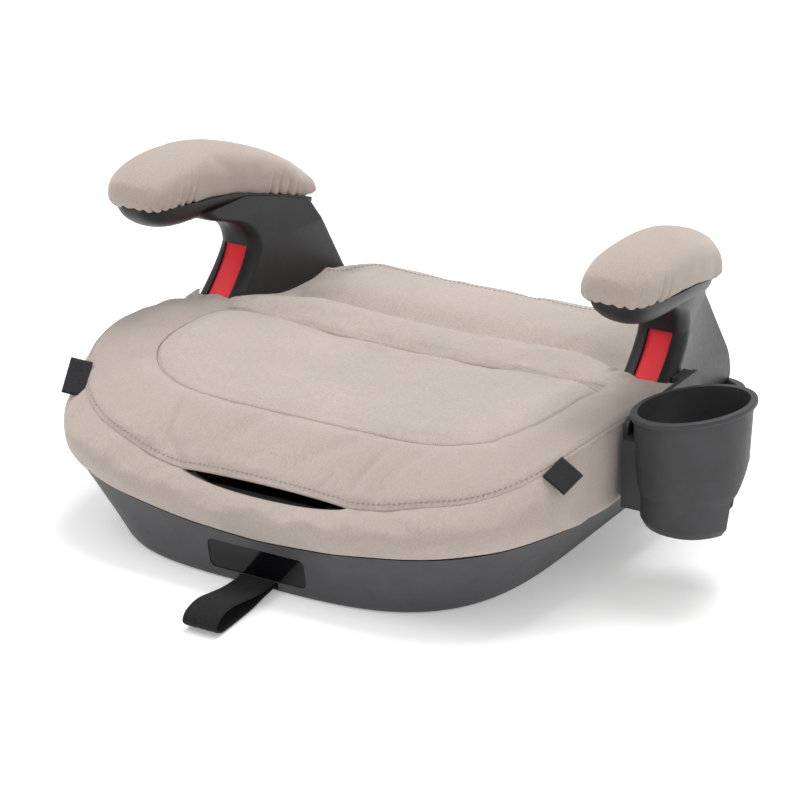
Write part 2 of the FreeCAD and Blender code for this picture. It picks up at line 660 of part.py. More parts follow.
def latch_frame():
    """Cross bar and two rectangular tubes that carry the connectors."""
    bar = box((-LATCH_X - TUBE_W / 2, LATCH_X + TUBE_W / 2), CROSS_Y, (TUBE_Z, TUBE_Z + TUBE_H))
    pieces = [bar]
    for side in (1, -1):
        x = side * LATCH_X
        pieces.append(box((x - TUBE_W / 2, x + TUBE_W / 2), (CROSS_Y[0], HOUSING_Y[0]), (TUBE_Z, TUBE_Z + TUBE_H)))
    frame = fuse(pieces)
    hollow_w, hollow_z = TUBE_W / 2 - 1.5, (TUBE_Z + 1.5, TUBE_Z + TUBE_H - 1.5)
    for side in (1, -1):
        x = side * LATCH_X
        frame = frame.cut(box((x - hollow_w, x + hollow_w), (CROSS_Y[1] + 2, HOUSING_Y[0] + 1), hollow_z))
    seat = box((-10, 10), (CROSS_Y[0] - 1, CROSS_Y[1] + 1), (TUBE_Z - 1, RACK_Z[1] + TOOTH_H + 0.05))
    return frame.cut(seat)


def carriage_rails():
    return Part.makeCompound([box((side * LATCH_X - 6, side * LATCH_X + 6), (18, 106), (WALL, TUBE_Z - 0.4))
                              for side in (1, -1)])


def at_side(side, x):
    return side * LATCH_X + x


def latch_housing(side):
    half = HOUSING_W / 2
    x0, x1 = at_side(side, -half), at_side(side, half)
    shell = box((x0, x1), HOUSING_Y, HOUSING_Z)
    shell = shell.makeFillet(2.0, [e for e in shell.Edges if e.BoundBox.ZMin > HOUSING_Z[1] - 0.1])
    shell = shell.cut(box((x0 + 2.5, x1 - 2.5), (HOUSING_Y[0] + 2.5, HOUSING_Y[1] - 2.5),
                          (HOUSING_Z[0] + 2.5, HOUSING_Z[1] - 2.5)))
    ledge = box((x0 + 2, x1 - 2), (HOUSING_Y[0] + 2, BUTTON_Y + 4.5), (44.2, 45.0))
    shell = fuse([shell, ledge])
    x = at_side(side, 0)
    shell = shell.cut(cylinder(3.4, (x, BUTTON_Y, 40), (0, 0, 1), 8))
    shell = shell.cut(box((x - 8.4, x + 8.4), (BUTTON_Y - 6.4, BUTTON_Y + 6.4), (48, 60)))
    shell = shell.cut(box((x0 - 1, x1 + 1), (HOUSING_Y[1] - MOUTH_DEPTH, HOUSING_Y[1] + 1), MOUTH_Z))
    return shell.cut(cylinder(2.55, (x0 - 1, JAW_PIVOT[0], JAW_PIVOT[1]), (1, 0, 0), HOUSING_W + 2))


def latch_jaw(side):
    y, z = JAW_PIVOT
    outline = [(y - 14, z - 1), (y - 14, z + 2.6), (y - 4, z + 4.0), (y + 6, z + 4.2), (y + 29, z + 1.5),
               (y + 34, z - 3), (y + 34, z - 11.5), (y + 30, z - 12.5), (y + 28, z - 4), (y + 4, z - 4.5)]
    x = at_side(side, 0)
    jaw = prism_x(side_polygon(outline), (x - 4, x + 4))
    return jaw.cut(cylinder(2.55, (x - 10, y, z), (1, 0, 0), 20))


def jaw_pin(side):
    half = HOUSING_W / 2
    return cylinder(2.5, (at_side(side, -half), JAW_PIVOT[0], JAW_PIVOT[1]), (1, 0, 0), HOUSING_W)


def release_button(side):
    x = at_side(side, 0)
    head = box((x - 8, x + 8), (BUTTON_Y - 6, BUTTON_Y + 6), (52, 57))
    head = head.makeFillet(1.2, [e for e in head.Edges if e.BoundBox.ZMin > 56.9])
    return fuse([head, cylinder(3.0, (x, BUTTON_Y, 43.8), (0, 0, 1), 9.2)])


def jaw_spring(side):
    return coil(4.4, 0.45, (at_side(side, 0), BUTTON_Y, 45.6), (0, 0, 1), 5.8, 3.4)


# ---------------------------------------------------------------- all pieces
def build():
    nodes = {}
    nodes["base_shell"] = base_shell()
    nodes["seat_shell"] = seat_shell()
    nodes["seat_foam"] = seat_foam()
    nodes["seat_cover"] = seat_cover(nodes["seat_shell"], nodes["seat_foam"])
    nodes["badge_plate"] = badge_plate()
    nodes["shell_screws"] = Part.makeCompound([screw(x, y, 3.4, 44) for x, y in SCREW_SPOTS])

    arm = arm_solid()
    foam = armrest_foam(arm)
    right = {"armrest_post": armrest_post(), "armrest_body": armrest_body(arm), "armrest_foam": foam,
             "armrest_cover": armrest_cover(arm, foam), "belt_guide": belt_guide()}
    for name, shape in right.items():
        nodes[name + "_right"] = shape
        nodes[name + "_left"] = mirrored(shape)
    nodes["armrest_screws"] = armrest_screws()
    for label, tag in SIDE_TAGS.items():
        nodes["side_tag_" + label] = side_tag(nodes["seat_cover"], *tag)

    nodes["cup_holder"] = cup_holder()
    nodes["cup_holder_bracket"] = cup_holder_bracket()

    nodes["release_strap"] = release_strap()
    nodes["release_slider"] = release_slider()
    nodes["slider_guide"] = slider_guide()
    nodes["slider_spring"] = coil(3.2, 0.5, (0, -156.4, 12.2), (0, 1, 0), 27.8, 9)
    nodes["lock_pawl"] = lock_pawl()
    nodes["pawl_pin"] = cylinder(PIN_R, (-22, 0, PAWL_PIVOT_Z), (1, 0, 0), 44)
    nodes["pawl_pull_pin"] = cylinder(2.0, (-17, 0, PAWL_PIN_Z), (1, 0, 0), 34)
    nodes["pawl_spring"] = coil(4.6, 0.3, (17.5, 0, PAWL_PIVOT_Z), (1, 0, 0), 1.0, 1.25)

    nodes["latch_frame"] = latch_frame()
    nodes["latch_rack"] = latch_rack()
    nodes["carriage_rails"] = carriage_rails()
    for side, label in ((1, "right"), (-1, "left")):
        nodes["latch_housing_" + label] = latch_housing(side)
        nodes["latch_jaw_" + label] = latch_jaw(side)
        nodes["jaw_pin_" + label] = jaw_pin(side)
        nodes["jaw_spring_" + label] = jaw_spring(side)
        nodes["release_button_" + label] = release_button(side)
    return nodes


def main():
    os.makedirs("parts", exist_ok=True)
    for name, shape in build().items():
        print(f"{name:24s} valid {shape.isValid()} solids {len(shape.Solids)} volume {shape.Volume / 1000:8.2f} cm3",
              [round(v, 1) for v in (shape.BoundBox.XMin, shape.BoundBox.XMax, shape.BoundBox.YMin,
                                     shape.BoundBox.YMax, shape.BoundBox.ZMin, shape.BoundBox.ZMax)])
        shape.exportStep(f"parts/{name}.step")


main()
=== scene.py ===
import json
import math

import bmesh
import bpy
import numpy as np
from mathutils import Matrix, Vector


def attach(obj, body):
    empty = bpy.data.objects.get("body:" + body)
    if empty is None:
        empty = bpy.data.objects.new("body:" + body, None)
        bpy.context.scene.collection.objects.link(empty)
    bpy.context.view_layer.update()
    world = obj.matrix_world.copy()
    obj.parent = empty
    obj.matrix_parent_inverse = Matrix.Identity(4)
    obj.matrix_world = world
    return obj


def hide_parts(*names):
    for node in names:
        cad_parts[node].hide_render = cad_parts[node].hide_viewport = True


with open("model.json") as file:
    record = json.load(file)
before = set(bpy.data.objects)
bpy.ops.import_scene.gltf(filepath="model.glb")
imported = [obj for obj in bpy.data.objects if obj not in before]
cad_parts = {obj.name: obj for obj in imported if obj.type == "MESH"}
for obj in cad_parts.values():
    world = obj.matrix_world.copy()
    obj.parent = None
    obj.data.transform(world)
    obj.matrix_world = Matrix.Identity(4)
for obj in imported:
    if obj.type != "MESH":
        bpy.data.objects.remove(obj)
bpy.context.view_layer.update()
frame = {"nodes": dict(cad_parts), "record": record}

MM = 0.001
NODES = frame["nodes"]

# ---------------------------------------------------------------- named sizes, in millimetres
Y_MID = -4.0                       # where the round front turns into the straight sides
# plan outlines: half width, front y, rear y, squareness of the front, squareness of the rear corners
INSET = (155.0, -121.0, 22.0, 4.0, 9.0)         # seam round the centre panel
SEAM = (200.0, -176.0, 157.0, 3.4, 8.0)         # perimeter seam
BULGE = (201.5, -193.0, 187.0, 4.1, 9.0)        # fullest line of the side skirt
BASE_LOW, BASE_HIGH = (157.5, -182.5, 178.0, 4.1, 9.0), (200.0, -193.5, 190.0, 4.3, 9.0)
BASE_Z = (4.0, 66.0)                            # heights of those two outlines of the plastic base
LIP_FRONT_Z, LIP_SLOPE = 36.0, 0.063            # top edge of the plastic base
LIP_RISE = [(0, 1.4), (6, 2.2), (18, 5), (28, 9.5), (37, 13), (45, 16), (52, 16.6), (58, 15.2), (68, 6.6),
            (78, 0.8), (88, 0), (180, 0)]       # (degrees from the front, how much higher the lip is)
MIDDLE_Z = 107.0
INSET_Z = [(0, 105), (38, 105), (52, 108.5), (58, 112), (64, 114.5), (73, 115.5), (83, 115), (93, 112),
           (98, 109), (120, 107.5), (180, 107.5)]  # (degrees from the front, height of the inset seam)
SEAM_Z = [(0, 73.5), (20, 73.5), (27, 75.5), (36, 82.5), (44, 87.5), (52, 96), (57, 102), (62, 108),
          (67, 112), (75, 114.5), (83, 113), (90, 110), (104, 107.5), (122, 108), (140, 107), (180, 106)]
CHANNEL_Y, CHANNEL_CURVE = 80.0, 8.0            # sewn channel across the rear of the seat
POST_TOP_Z, POST_FRONT_Y = 139.0, 63.5          # armrest post: top, and front face there
POST_SWEEP = (0.163, 1.45)                      # how its front runs forward below the top: factor, power
POST_INNER = (156.5, 150.0)                     # inner face at the front and at the rear
POST_OUTER, POST_CORNER = 196.5, 12.0           # outer face at the front, and its corner radius
POST_TUCK_Z, POST_TUCK = 80.0, 11.0             # below this height the outer face draws in
SLIT_HALF = 65.0                                # hand hold opening in the front seam
SLIT_RISE, SLIT_DROP = 2.5, 5.5

INNER_RINGS, OUTER_RINGS, SIDE_STEPS = 44, 96, 88
SKIRT_ROLL, SKIRT_FALL = 24, 12


# ---------------------------------------------------------------- curves and fields
def curve(knots):
    """Smooth function through (x, y) knots that doesn't overshoot between them."""
    x, y = np.array(knots, float).T
    slope = np.diff(y) / np.diff(x)
    tangent = np.zeros_like(y)
    same = slope[:-1] * slope[1:] > 0
    tangent[1:-1][same] = 2 * slope[:-1][same] * slope[1:][same] / (slope[:-1] + slope[1:])[same]

    def value(at):
        at = np.clip(at, x[0], x[-1])
        i = np.clip(np.searchsorted(x, at) - 1, 0, len(x) - 2)
        h = x[i + 1] - x[i]
        t = (at - x[i]) / h
        return ((2 * t**3 - 3 * t**2 + 1) * y[i] + (t**3 - 2 * t**2 + t) * h * tangent[i]
                + (3 * t**2 - 2 * t**3) * y[i + 1] + (t**3 - t**2) * h * tangent[i + 1])

    return value


def step(x, low, high):
    t = np.clip((x - low) / (high - low), 0, 1)
    return t * t * (3 - 2 * t)


def bell(x, width):
    return np.exp(-(x / width) ** 2)


def reach(phi, outline):
    """Distance from the middle to a plan outline, in each direction."""
    half_w, front, rear, front_power, rear_power = outline
    c, s = np.abs(np.cos(phi)), np.abs(np.sin(phi))
    at_front = np.sin(phi) < 0
    depth = np.where(at_front, Y_MID - front, rear - Y_MID)
    power = np.where(at_front, front_power, rear_power)
    return ((c / half_w) ** power + (s / depth) ** power) ** (-1 / power)


def from_front(phi):
    """Degrees from straight ahead, 0 to 180, the same on both sides."""
    return np.degrees(np.abs(np.arctan2(np.cos(phi), -np.sin(phi))))


def hem_line(phi):
    """Distance from the middle and height of the skirt's lower edge, just over the lip of the base."""
    low, high = reach(phi, BASE_LOW), reach(phi, BASE_HIGH)
    z = LIP_FRONT_Z + LIP_SLOPE * (Y_MID + low * np.sin(phi) + 190) + curve(LIP_RISE)(from_front(phi)) + 1.4
    return low + (high - low) * (z - BASE_Z[0]) / (BASE_Z[1] - BASE_Z[0]) + 1.2, z


def segment_distance(x, y, a, b):
    """(distance to the segment, share along it)."""
    a, b = np.array(a, float), np.array(b, float)
    d = b - a
    t = np.clip(((x - a[0]) * d[0] + (y - a[1]) * d[1]) / (d @ d), 0, 1)
    return np.hypot(x - a[0] - t * d[0], y - a[1] - t * d[1]), t


# ---------------------------------------------------------------- materials
def new_material(name):
    material = bpy.data.materials.new(name)
    material.use_nodes = True
    nodes, links = material.node_tree.nodes, material.node_tree.links
    return material, nodes, links, nodes["Principled BSDF"]


def math_node(nodes, links, operation, a, b=None):
    node = nodes.new("ShaderNodeMath")
    node.operation = operation
    for socket, value in zip(node.inputs, (a, b)):
        if value is None:
            continue
        if isinstance(value, (int, float)):
            socket.default_value = value
        else:
            links.new(value, socket)
    return node.outputs[0]


def noise(nodes, links, vector, scale, detail=2.0, rough=0.5):
    node = nodes.new("ShaderNodeTexNoise")
    node.inputs["Scale"].default_value = scale
    node.inputs["Detail"].default_value = detail
    node.inputs["Roughness"].default_value = rough
    links.new(vector, node.inputs["Vector"])
    return node.outputs["Fac"]


def ramp(nodes, links, factor, dark, light, low=0.3, high=0.7):
    node = nodes.new("ShaderNodeValToRGB")
    node.color_ramp.elements[0].position, node.color_ramp.elements[1].position = low, high
    node.color_ramp.elements[0].color = (*dark, 1)
    node.color_ramp.elements[1].color = (*light, 1)
    links.new(factor, node.inputs["Fac"])
    return node.outputs["Color"]


def bump(nodes, links, height, distance, strength, normal=None):
    node = nodes.new("ShaderNodeBump")
    node.inputs["Distance"].default_value = distance
    node.inputs["Strength"].default_value = strength
    links.new(height, node.inputs["Height"])
    if normal is not None:
        links.new(normal, node.inputs["Normal"])
    return node.outputs["Normal"]


def place(nodes):
    return nodes.new("ShaderNodeTexCoord").outputs["Object"]


def plastic(name, colour, rough=0.5, grain=1.0, spread=0.14, specular=0.5):
    """Moulded plastic: fine spark-eroded grain, faint mottling and handling marks."""
    material, nodes, links, shader = new_material(name)
    where = place(nodes)
    mottle = noise(nodes, links, where, 38, 4, 0.6)
    dark = [c * (1 - spread) for c in colour]
    light = [c * (1 + spread) for c in colour]
    links.new(ramp(nodes, links, mottle, dark, light), shader.inputs["Base Color"])
    rub = noise(nodes, links, where, 210, 3, 0.7)
    roughness = math_node(nodes, links, "MULTIPLY_ADD", rub, 0.18)
    roughness.node.inputs[2].default_value = rough - 0.09
    links.new(roughness, shader.inputs["Roughness"])
    shader.inputs["Specular IOR Level"].default_value = specular
    fine = noise(nodes, links, where, 2600, 2, 0.6)
    links.new(bump(nodes, links, fine, 0.00006 * grain, 0.6), shader.inputs["Normal"])
    return material


def weave_height(nodes, links, pitch, ribs=0.6):
    """Twill: slanting ribs crossed by threads, laid on by whichever way the surface faces."""
    where = place(nodes)
    warp = nodes.new("ShaderNodeTexNoise")
    warp.inputs["Scale"].default_value = 55
    links.new(where, warp.inputs["Vector"])
    shift = nodes.new("ShaderNodeVectorMath")
    shift.operation = "MULTIPLY_ADD"
    shift.inputs[1].default_value = (0.0012, 0.0012, 0.0012)
    links.new(warp.outputs["Color"], shift.inputs[0])
    links.new(where, shift.inputs[2])
    split = nodes.new("ShaderNodeSeparateXYZ")
    links.new(shift.outputs[0], split.inputs[0])
    x, y, z = split.outputs
    facing = nodes.new("ShaderNodeSeparateXYZ")
    links.new(nodes.new("ShaderNodeNewGeometry").outputs["Normal"], facing.inputs[0])
    turn = 2 * math.pi / pitch

    def threads(u, v):
        u, v = (math_node(nodes, links, "MULTIPLY", c, turn) for c in (u, v))
        slant = math_node(nodes, links, "ADD", u, math_node(nodes, links, "MULTIPLY", v, 1.0))
        rib = math_node(nodes, links, "SINE", slant)
        across = math_node(nodes, links, "SINE", math_node(nodes, links, "MULTIPLY", v, 2.0))
        return math_node(nodes, links, "ADD", math_node(nodes, links, "MULTIPLY", rib, ribs),
                         math_node(nodes, links, "MULTIPLY", across, 1 - ribs))

    weights = []
    for axis in facing.outputs:
        squared = math_node(nodes, links, "MULTIPLY", axis, axis)
        weights.append(math_node(nodes, links, "MULTIPLY", squared, squared))
    first_two = math_node(nodes, links, "ADD", weights[0], weights[1])
    total = math_node(nodes, links, "ADD", first_two, weights[2])
    parts = [math_node(nodes, links, "MULTIPLY", threads(a, b), w)
             for (a, b), w in zip(((y, z), (x, z), (x, y)), weights)]
    joined = math_node(nodes, links, "ADD", math_node(nodes, links, "ADD", parts[0], parts[1]), parts[2])
    return math_node(nodes, links, "DIVIDE", joined, total), where


def fabric(name, colour, pitch=0.00115, depth=0.00022, melange=0.08, streak=0.0, ribs=0.6, sheen=0.25):
    """Woven polyester: twill ribs, flecked yarn, soft sheen."""
    material, nodes, links, shader = new_material(name)
    threads, where = weave_height(nodes, links, pitch, ribs)
    fleck_scale = nodes.new("ShaderNodeMapping")
    fleck_scale.inputs["Scale"].default_value = (1 - streak * 0.75, 1 + streak, 1 + streak)
    links.new(where, fleck_scale.inputs["Vector"])
    fleck = noise(nodes, links, fleck_scale.outputs[0], 700, 3, 0.75)
    cloudy = noise(nodes, links, where, 14, 3, 0.5)
    mixed = math_node(nodes, links, "ADD", math_node(nodes, links, "MULTIPLY", fleck, 0.62),
                      math_node(nodes, links, "MULTIPLY", cloudy, 0.18))
    mixed = math_node(nodes, links, "ADD", mixed, math_node(nodes, links, "MULTIPLY", threads, 0.13))
    dark = [c * (1 - melange * 2.2) for c in colour]
    light = [c * (1 + melange) for c in colour]
    links.new(ramp(nodes, links, mixed, dark, light, 0.25, 0.55), shader.inputs["Base Color"])
    shader.inputs["Roughness"].default_value = 0.88
    shader.inputs["Specular IOR Level"].default_value = 0.25
    shader.inputs["Sheen Weight"].default_value = sheen
    shader.inputs["Sheen Roughness"].default_value = 0.5
    fuzz = bump(nodes, links, fleck, 0.00012, 0.5)
    links.new(bump(nodes, links, threads, depth, 0.8, fuzz), shader.inputs["Normal"])
    return material


def metal(name, colour, rough):
    material, nodes, links, shader = new_material(name)
    where = place(nodes)
    tone = noise(nodes, links, where, 60, 3)
    links.new(ramp(nodes, links, tone, [c * 0.85 for c in colour], colour), shader.inputs["Base Color"])
    shader.inputs["Metallic"].default_value = 1.0
    shader.inputs["Roughness"].default_value = rough
    lines = noise(nodes, links, where, 900, 2)
    links.new(bump(nodes, links, lines, 0.00003, 0.5), shader.inputs["Normal"])
    return material


def foam_material():
    material, nodes, links, shader = new_material("foam_cells")
    where = place(nodes)
    cells = noise(nodes, links, where, 900, 3, 0.7)
    links.new(ramp(nodes, links, cells, (0.55, 0.52, 0.44), (0.80, 0.77, 0.68)), shader.inputs["Base Color"])
    shader.inputs["Roughness"].default_value = 0.95
    links.new(bump(nodes, links, cells, 0.0004, 0.9), shader.inputs["Normal"])
    return material


FABRIC = fabric("cover_twill", (0.49, 0.415, 0.37))
INSET_FABRIC = fabric("inset_knit", (0.50, 0.43, 0.385), pitch=0.0016, melange=0.11, streak=0.7, ribs=0.4)
PAD_FABRIC = fabric("armrest_twill", (0.47, 0.395, 0.345), pitch=0.0011, depth=0.0002)
THREAD = fabric("thread", (0.44, 0.375, 0.335), pitch=0.0006)
# darker fabric for the faces along the front inset seam: painted shade of the seam groove
SEAM_SHADE = fabric("seam_shade", (0.27, 0.225, 0.195), pitch=0.0006)
BASE = plastic("base_plastic", (0.060, 0.059, 0.063), 0.52, specular=0.35)
SHELL = plastic("shell_plastic", (0.02, 0.02, 0.021), 0.6, specular=0.3)
ARM = plastic("arm_plastic", (0.015, 0.015, 0.0162), 0.46, specular=0.3)
CUP = plastic("cup_plastic", (0.040, 0.040, 0.0425), 0.5, specular=0.35)
RED = plastic("guide_red", (0.95, 0.032, 0.046), 0.42, 0.4, 0.04, 0.25)
INNER = plastic("inner_plastic", (0.035, 0.035, 0.038), 0.5)
BADGE = plastic("badge_gloss", (0.004, 0.004, 0.005), 0.14, 0.1, 0.2, 0.3)
STEEL = metal("zinc_steel", (0.62, 0.63, 0.65), 0.32)
SPRING = metal("spring_wire", (0.5, 0.51, 0.53), 0.28)
FOAM = foam_material()
TAG = fabric("tag_tape", (0.028, 0.028, 0.031), pitch=0.0007, depth=0.0001, melange=0.2, ribs=0.2,
             sheen=0.03)
WEBBING = fabric("webbing", (0.014, 0.014, 0.0145), pitch=0.0013, depth=0.0003, melange=0.25, ribs=0.15,
                 sheen=0.03)

SLOT_LOOK = {"base_plastic": BASE, "shell_plastic": SHELL, "arm_plastic": ARM, "red_plastic": RED,
             "cup_plastic": CUP, "badge_black": BADGE, "inner_plastic": INNER, "steel": STEEL,
             "spring_steel": SPRING, "foam": FOAM, "button_red": RED, "seat_fabric": FABRIC,
             "arm_fabric": PAD_FABRIC, "tag_cloth": TAG, "webbing": WEBBING}
SLOT_OF = {s["node"]: s["material_slot"] for s in frame["record"]["subparts"]}


def dress_cad():
    for name, node in NODES.items():
        node.data.materials.clear()
        node.data.materials.append(SLOT_LOOK[SLOT_OF[name]])


# ---------------------------------------------------------------- meshes
def mesh_object(name, points, faces, materials, face_material=None, smooth=True):
    """Object from points in millimetres and faces of point numbers."""
    mesh = bpy.data.meshes.new(name)
    mesh.from_pydata((np.asarray(points) * MM).tolist(), [], [list(map(int, f)) for f in faces])
    for material in materials:
        mesh.materials.append(material)
    if face_material is not None:
        mesh.polygons.foreach_set("material_index", np.asarray(face_material, np.int32))
    mesh.polygons.foreach_set("use_smooth", [smooth] * len(mesh.polygons))
    mesh.update()
    made = bpy.data.objects.new(name, mesh)
    bpy.context.scene.collection.objects.link(made)
    return made


def clustered(count, pull):
    """Shares from 0 to 1, closer together near both ends."""
    t = np.linspace(0, 1, count + 1)
    return t - pull * np.sin(2 * np.pi * t) / (2 * np.pi)


# ---------------------------------------------------------------- cloth
PRESSURE = 3.0
TOP_CAP, SKIRT_CAP, PAD_CAP = 5.0, 4.0, 3.0     # furthest that filling may move a point, in millimetres
COARSE = (12, 18)                               # rings of the coarse top, inside and outside the inset seam
COARSE_ROLL, COARSE_FALL = 12, 6                # rows of the coarse skirt


def settle(grid, held, pressure, slack, cap, frames=20):
    """How far a closed grid of cloth moves when it is filled: rows along it, columns once round it."""
    rows, count = grid.shape[:2]
    faces = [(i * count + j, (i + 1) * count + j,
              (i + 1) * count + (j + 1) % count, i * count + (j + 1) % count)
             for i in range(rows - 1) for j in range(count)]
    sheet = mesh_object("cloth_work", grid.reshape(-1, 3), faces, [FABRIC])
    group = sheet.vertex_groups.new(name="held")
    for number, weight in enumerate(held.reshape(-1).tolist()):
        if weight > 0:
            group.add([number], weight, "REPLACE")
    cloth = sheet.modifiers.new("cloth", "CLOTH")
    way = cloth.settings
    way.quality, way.mass = 6, 0.2
    way.tension_stiffness, way.compression_stiffness, way.shear_stiffness = 30, 12, 10
    way.bending_stiffness = 0.35
    way.use_pressure, way.uniform_pressure_force = True, pressure
    way.shrink_min = -slack
    way.vertex_group_mass = "held"
    way.effector_weights.gravity = 0
    cloth.collision_settings.use_collision = False
    cloth.collision_settings.use_self_collision = False
    cloth.point_cache.frame_start, cloth.point_cache.frame_end = 1, frames
    scene = bpy.context.scene
    for number in range(1, frames + 1):
        scene.frame_set(number)
    settled = sheet.evaluated_get(bpy.context.evaluated_depsgraph_get())
    flat = np.empty(rows * count * 3)
    settled.data.vertices.foreach_get("co", flat)
    mesh = sheet.data
    bpy.data.objects.remove(sheet)
    bpy.data.meshes.remove(mesh)
    scene.frame_set(1)
    move = flat.reshape(rows, count, 3) / MM - grid
    length = np.linalg.norm(move, axis=2)[..., None] + 1e-9
    return move * np.minimum(1, cap / length)


def spread(move, at, wanted, count):
    """Move of a coarse grid carried over to a finer one with the same outline."""
    rows = np.stack([[np.interp(wanted, at, move[:, j, axis]) for axis in range(3)]
                     for j in range(move.shape[1])])
    rows = rows.transpose(2, 0, 1)
    old = np.arange(move.shape[1] + 1) / move.shape[1]
    new = np.arange(count) / count
    rows = np.concatenate([rows, rows[:, :1]], 1)
    return np.stack([np.stack([np.interp(new, old, row[:, axis]) for axis in range(3)], -1) for row in rows])


def soften(field, turns):
    """Average of each point with its neighbours, repeated."""
    for _ in range(turns):
        padded = np.concatenate([field[:1], field, field[-1:]])
        field = (padded[:-2] + padded[2:] + 2 * field) / 4
        field = (np.roll(field, 1, 1) + np.roll(field, -1, 1) + 2 * field) / 4
    return field


# ---------------------------------------------------------------- seat cover
def post_front(z):
    return np.maximum(8.0, POST_FRONT_Y - POST_SWEEP[0] * np.maximum(POST_TOP_Z - z, 0) ** POST_SWEEP[1])


def post_inner(y):
    return POST_INNER[0] + (POST_INNER[1] - POST_INNER[0]) * np.clip((y - 40) / 140, 0, 1)


def post_outer(z):
    return POST_OUTER - POST_TUCK * (max(0.0, POST_TUCK_Z - z) / 40) ** 1.3


def channel_line(x):
    return CHANNEL_Y + CHANNEL_CURVE * (np.abs(x) / 145) ** 2


def top_height(share, phi):
    """Height of the top; share is 0 in the middle, 1 at the inset seam and 2 at the perimeter seam."""
    degrees = from_front(phi)
    inner_z, outer_z = curve(INSET_Z)(degrees), curve(SEAM_Z)(degrees)
    inside = MIDDLE_Z + (inner_z - MIDDLE_Z) * np.clip(share, 0, 1) ** 2.5
    return inside + (outer_z - inner_z) * np.clip(share - 1, 0, 1) ** 1.8


def seam_shaping(x, y, share, gap_inset, gap_edge, phi):
    """Lowering of the surface by its seams and sewn channels, and the small folds that pull from them."""
    border = share > 1
    rearward = step(np.sin(phi), 0.05, 0.25) * (np.abs(x) < 152)
    low = 2.6 * np.exp(-np.abs(gap_inset) / 1.1) + (1.7 + 2.8 * rearward) * bell(gap_inset, 10)
    low = low - 1.3 * bell(np.abs(gap_inset) - 15, 9) * (1 - rearward)
    channel = y - channel_line(x)
    across = (1 - step(np.abs(x), 139, 147)) * (y > 50)
    low = low + across * (2.4 * np.exp(-np.abs(channel) / 1.8) + 6.8 * bell(channel, 11))
    low = low - across * 2.6 * bell(y - 115, 20) - (np.abs(x) < 146) * (y > 30) * 2.6 * bell(y - 52, 14)
    for side in (1, -1):
        d, _ = segment_distance(x, y, (side * 150, 14), (side * 171, 44))
        low = low + 2.0 * np.exp(-d / 1.6) + 1.6 * bell(d, 7)
    low = low + 1.3 * bell(gap_edge, 6) * border
    folds = [((-83, -168), (-92, -126), 1.7, 3.0), ((-72, -170), (-104, -152), 0.9, 4),
             ((64, -168), (74, -140), 1.3, 2.6), ((52, -124), (112, -116), 0.5, 5),
             ((84, -162), (104, -124), 0.7, 5), ((20, -160), (64, -126), 0.8, 7),
             ((-40, -160), (-20, -126), 0.5, 7), ((150, -112), (128, -96), 0.8, 5),
             ((-158, -112), (-138, -84), 0.8, 6), ((176, -20), (158, -24), 0.6, 7),
             ((178, 6), (156, -4), 0.8, 6), ((-178, 4), (-156, -4), 0.8, 6)]
    for a, b, deep, width in folds:
        d, t = segment_distance(x, y, a, b)
        low = low + 1.6 * deep * bell(d, width) * (0.35 + 0.65 * np.sin(np.pi * np.clip(t, 0.02, 1)))
    return low


def post_contact(x, y):
    """How much the cover is pushed up where it meets the armrest posts."""
    away_front = np.maximum(post_front(108.0) - y, 0) + 40 * (np.abs(x) < 144)
    away_side = np.maximum(post_inner(y) - np.abs(x), 0) + 40 * (y < 34)
    dip = 15 * step(np.abs(x), 100, 152) * step(y, 35, 105) * (1 - 0.3 * step(y, 130, 165))
    flap = 6.0 * bell(np.hypot(x - 162, y - 33), 12) - 5.0 * bell(np.hypot(x + 196, y - 34), 18)
    return flap + 1.2 * bell(away_front, 6) * (x > 0) + 1.2 * bell(away_side, 6) - dip


def slit_opening(x, y):
    """1 at the middle of the hand hold, 0 at its ends and everywhere else."""
    inside = np.clip(1 - (x / SLIT_HALF) ** 2, 0, 1)
    return np.where(y < -100, inside ** 0.62, 0.0)


def directions(half):
    """Directions of the columns, once round the seat."""
    side = np.linspace(-1, 1, 2 * half + 1)[:-1]
    one = np.ones_like(side)
    return np.arctan2(np.concatenate([-one, side, one, -side]), np.concatenate([side, one, -side, -one]))


def top_grid(phi, share):
    """Points of the top of the cover, from the middle out to the perimeter seam."""
    inset, seam = reach(phi, INSET), reach(phi, SEAM)
    share = np.asarray(share)[:, None] * np.ones(len(phi))
    radius = inset * np.clip(share, 0, 1) + (seam - inset) * np.clip(share - 1, 0, 1)
    x, y = radius * np.cos(phi), Y_MID + radius * np.sin(phi)
    edge = seam - radius
    z = top_height(share, phi) - seam_shaping(x, y, share, radius - inset, edge, phi)
    z = z + post_contact(x, y) + 1.0 * bell(edge - 4, 4.5) * (share > 1)
    near_slit = bell(edge, 15) * slit_opening(x[-1], y[-1])
    return np.stack([x, y + 2.0 * near_slit, z + SLIT_RISE * near_slit], -1)


